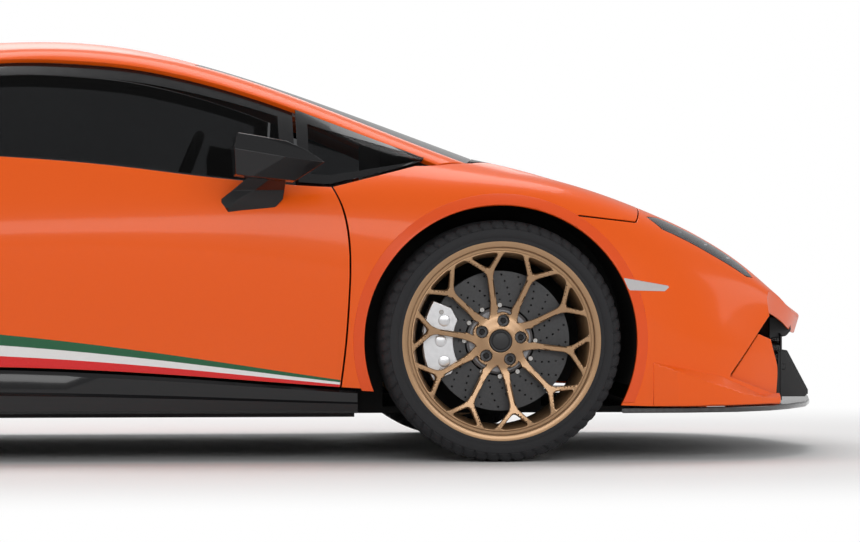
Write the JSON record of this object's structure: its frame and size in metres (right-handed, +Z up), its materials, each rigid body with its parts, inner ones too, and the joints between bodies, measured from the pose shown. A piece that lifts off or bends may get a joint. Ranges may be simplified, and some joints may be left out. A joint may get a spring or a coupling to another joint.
{
  "type": "supercar",
  "caption": "Low wedge-shaped two-seat mid-engined coupe with hinged doors, front lid and engine cover, steered front wheels, forged Y-spoke wheels and a fixed rear wing.",
  "frame": {"origin": "on the ground under the middle of the overall box, midway between nose and tail", "axes": "+X forwards along the car, +Y to the car's left, +Z up"},
  "size_m": [4.506, 2.236, 1.1647],
  "materials": {
    "body_paint": "gloss",
    "gloss_black": "gloss",
    "satin_black": "satin",
    "window_glass": "gloss",
    "lamp_glass": "gloss",
    "tail_red": "gloss",
    "tyre_rubber": "matte",
    "bronze_wheel": "satin",
    "ceramic_disc": "satin",
    "silver_caliper": "satin",
    "bare_aluminium": "satin",
    "cabin_trim": "matte",
    "steel_pipe": "satin"
  },
  "bodies": {
    "body": {"cowl": "satin_black", "dashboard": "cabin_trim", "engine_block": "bare_aluminium", "exhaust": "steel_pipe", "floor_pan": "bare_aluminium", "front_bumper": "body_paint", "front_fender_left": "body_paint", "front_fender_right": "body_paint", "front_grilles": "satin_black", "front_splitter": "gloss_black", "front_suspension": "bare_aluminium", "headlamps": "lamp_glass", "luggage_tub": "satin_black", "quarter_glass_left": "window_glass", "quarter_glass_right": "window_glass", "rear_bumper": "body_paint", "rear_carrier_left": "silver_caliper", "rear_carrier_right": "silver_caliper", "rear_deck": "body_paint", "rear_diffuser": "satin_black", "rear_quarter_left": "body_paint", "rear_quarter_right": "body_paint", "rear_suspension": "bare_aluminium", "rear_window": "window_glass", "rear_wing": "gloss_black", "roof": "body_paint", "seats": "cabin_trim", "side_sills": "gloss_black", "tail_lamps": "tail_red", "wheel_liners": "satin_black", "windscreen": "window_glass"},
    "front_upright_right": {"front_knuckle_right": "silver_caliper"},
    "front_wheel_right": {"tyre_front_right": "tyre_rubber", "rim_front_right": "bronze_wheel", "brake_disc_front_right": "ceramic_disc"},
    "rear_wheel_right": {"tyre_rear_right": "tyre_rubber", "rim_rear_right": "bronze_wheel", "brake_disc_rear_right": "ceramic_disc"},
    "door_right": {"door_right": "body_paint", "door_glass_right": "window_glass", "mirror_right": "gloss_black"},
    "front_upright_left": {"front_knuckle_left": "silver_caliper"},
    "front_wheel_left": {"tyre_front_left": "tyre_rubber", "rim_front_left": "bronze_wheel", "brake_disc_front_left": "ceramic_disc"},
    "rear_wheel_left": {"tyre_rear_left": "tyre_rubber", "rim_rear_left": "bronze_wheel", "brake_disc_rear_left": "ceramic_disc"},
    "door_left": {"door_left": "body_paint", "door_glass_left": "window_glass", "mirror_left": "gloss_black"},
    "bonnet": {"bonnet": "body_paint"},
    "engine_cover": {"engine_cover": "body_paint"},
    "steering_wheel": {"steering_wheel": "cabin_trim"}
  },
  "joints": [
    {"name": "steer_right", "type": "hinge", "parent": "body", "child": "front_upright_right", "pos_m": [1.19, -0.822, 0.3275], "axis": [0, 0, 1], "range_deg": [-30, 30]},
    {"name": "spin_front_right", "type": "hinge", "parent": "front_upright_right", "child": "front_wheel_right", "pos_m": [1.19, -0.822, 0.3275], "axis": [0, 1, 0], "continuous": true},
    {"name": "spin_rear_right", "type": "hinge", "parent": "body", "child": "rear_wheel_right", "pos_m": [-1.43, -0.797, 0.3455], "axis": [0, 1, 0], "continuous": true},
    {"name": "door_right_hinge", "type": "hinge", "parent": "body", "child": "door_right", "pos_m": [0.7797, -0.9155, 0.5], "axis": [0, 0, 1], "range_deg": [0, 60]},
    {"name": "steer_left", "type": "hinge", "parent": "body", "child": "front_upright_left", "pos_m": [1.19, 0.822, 0.3275], "axis": [0, 0, 1], "range_deg": [-30, 30]},
    {"name": "spin_front_left", "type": "hinge", "parent": "front_upright_left", "child": "front_wheel_left", "pos_m": [1.19, 0.822, 0.3275], "axis": [0, 1, 0], "continuous": true},
    {"name": "spin_rear_left", "type": "hinge", "parent": "body", "child": "rear_wheel_left", "pos_m": [-1.43, 0.797, 0.3455], "axis": [0, 1, 0], "continuous": true},
    {"name": "door_left_hinge", "type": "hinge", "parent": "body", "child": "door_left", "pos_m": [0.7797, 0.9155, 0.5], "axis": [0, 0, -1], "range_deg": [0, 60]},
    {"name": "bonnet_hinge", "type": "hinge", "parent": "body", "child": "bonnet", "pos_m": [1.2044, 0, 0.8225], "axis": [0, -1, 0], "range_deg": [0, 60]},
    {"name": "engine_cover_hinge", "type": "hinge", "parent": "body", "child": "engine_cover", "pos_m": [-0.352, 0, 1.1535], "axis": [0, 1, 0], "range_deg": [0, 50]},
    {"name": "steering_wheel_turn", "type": "hinge", "parent": "body", "child": "steering_wheel", "pos_m": [0.352, 0.365, 0.74], "axis": [-0.9272, 0, 0.3746], "range_deg": [-390, 390]}
  ],
  "couplings": [
    {"joint": "steer_right", "follows": "steer_left", "ratio": 1},
    {"joint": "steering_wheel_turn", "follows": "steer_left", "ratio": 13}
  ]
}
